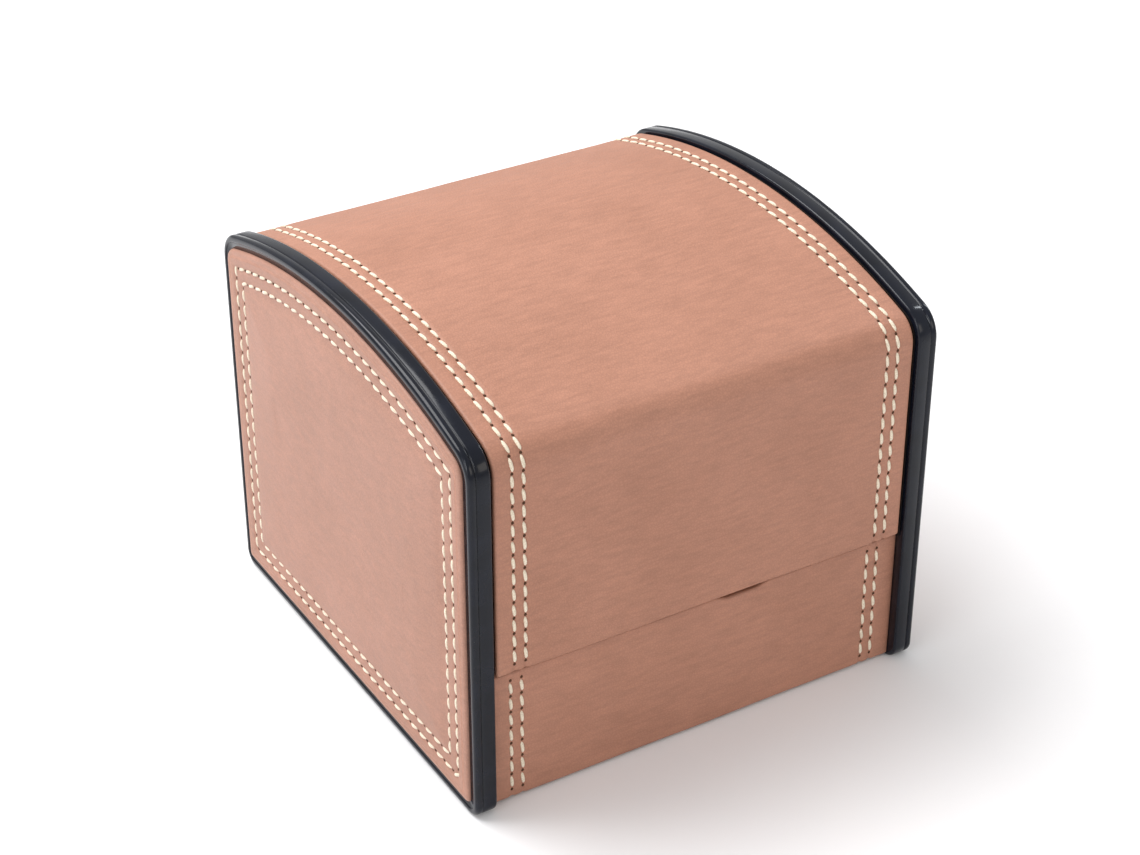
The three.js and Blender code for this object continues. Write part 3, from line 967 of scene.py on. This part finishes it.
def hinge_strip():
    """Suede inside the box, glued to both back linings, that covers the hinge."""
    lid_half = span("lid_cheek_lining_right")[0][0] - STRIP_SIDE_GAP
    base_half = span("back_lining")[1][0] - STRIP_SIDE_GAP
    glued = INNER_BACK - 0.05
    back, front = [], []
    for share in np.linspace(-1, 1, STRIP_COLUMNS):
        for z in np.linspace(HINGE_Z - STRIP_REACH, HINGE_Z + STRIP_REACH, STRIP_ROWS):
            half = lid_half + (base_half - lid_half) * min(max(HINGE_Z + STRIP_STEP - z, 0) / 0.5, 1)
            x = half * share
            edge = min(half - abs(x), STRIP_REACH - abs(z - HINGE_Z)) / 0.6
            thickness = STRIP_THICKNESS * math.sqrt(max(1 - (1 - min(edge, 1)) ** 2, 0))
            wave = 0.05 * noise.noise((x / 9, z / 9, 1.0))
            back.append((x, glued, z))
            front.append((x, glued - max(thickness, 0.02) + wave, z))
    places = back + front
    piece = make_mesh("hinge_strip", places, sheet_faces(STRIP_COLUMNS, STRIP_ROWS), lining_suede)
    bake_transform(piece)


hinge_strip()

# ---------------------------------------------------------------- studio


def studio():
    """A pale floor, an even white world, softboxes, and two narrow strips that only glint in the rims."""
    floor = make_mesh(
        "studio_floor",
        [(-3000, -3000, 0), (3000, -3000, 0), (3000, 3000, 0), (-3000, 3000, 0)],
        [(0, 1, 2, 3)],
        plain_material("studio_floor", (0.86, 0.86, 0.875), (0.88, 0.88, 0.89), 0.6, 40, 0.01),
    )
    world = bpy.data.worlds.new("studio")
    world.use_nodes = True
    world.node_tree.nodes["Background"].inputs["Color"].default_value = (1.0, 1.0, 1.0, 1)
    world.node_tree.nodes["Background"].inputs["Strength"].default_value = 0.65
    bpy.context.scene.world = world

    def softbox(name, place, size, power, colour=(1, 1, 1), only_glints=False):
        light = bpy.data.lights.new(name, "AREA")
        light.shape = "RECTANGLE"
        light.size, light.size_y = size
        light.energy = power
        light.color = colour
        lamp = bpy.data.objects.new(name, light)
        lamp.location = place
        aim = Vector((0, 0, 0.04)) - Vector(place)
        lamp.rotation_euler = aim.to_track_quat("-Z", "Y").to_euler()
        lamp.visible_diffuse = not only_glints
        bpy.context.collection.objects.link(lamp)

    softbox("key", (-0.25, 0.35, 0.75), (0.7, 0.5), 8.6)
    softbox("left_fill", (-0.8, -0.3, 0.35), (0.5, 0.5), 1.9)
    softbox("front_fill", (0.35, -0.9, 0.45), (0.5, 0.4), 1.45, (1.0, 0.92, 0.82))
    softbox("left_strip", (-0.62, -0.55, 0.62), (0.03, 0.5), 2.0, (0.90, 0.95, 1.0), only_glints=True)
    softbox("right_strip", (0.7, 0.1, 0.5), (0.03, 0.5), 1.5, (0.90, 0.95, 1.0), only_glints=True)


def camera():
    """Looks at the middle of the box from the front left, a little above."""
    azimuth, elevation, distance = math.radians(-31), math.radians(31.6), 0.477
    low, high = cad_bounds
    target = (low + high) / 2
    back = Vector((
        math.sin(azimuth) * math.cos(elevation),
        -math.cos(azimuth) * math.cos(elevation),
        math.sin(elevation),
    ))
    data = bpy.data.cameras.new("camera")
    data.lens = 80
    data.clip_start = 0.01
    holder = bpy.data.objects.new("camera", data)
    holder.location = target + back * distance
    holder.rotation_euler = (-back).to_track_quat("-Z", "Y").to_euler()
    bpy.context.collection.objects.link(holder)
    bpy.context.scene.camera = holder


studio()
camera()
bpy.context.scene.view_settings.view_transform = "Standard"
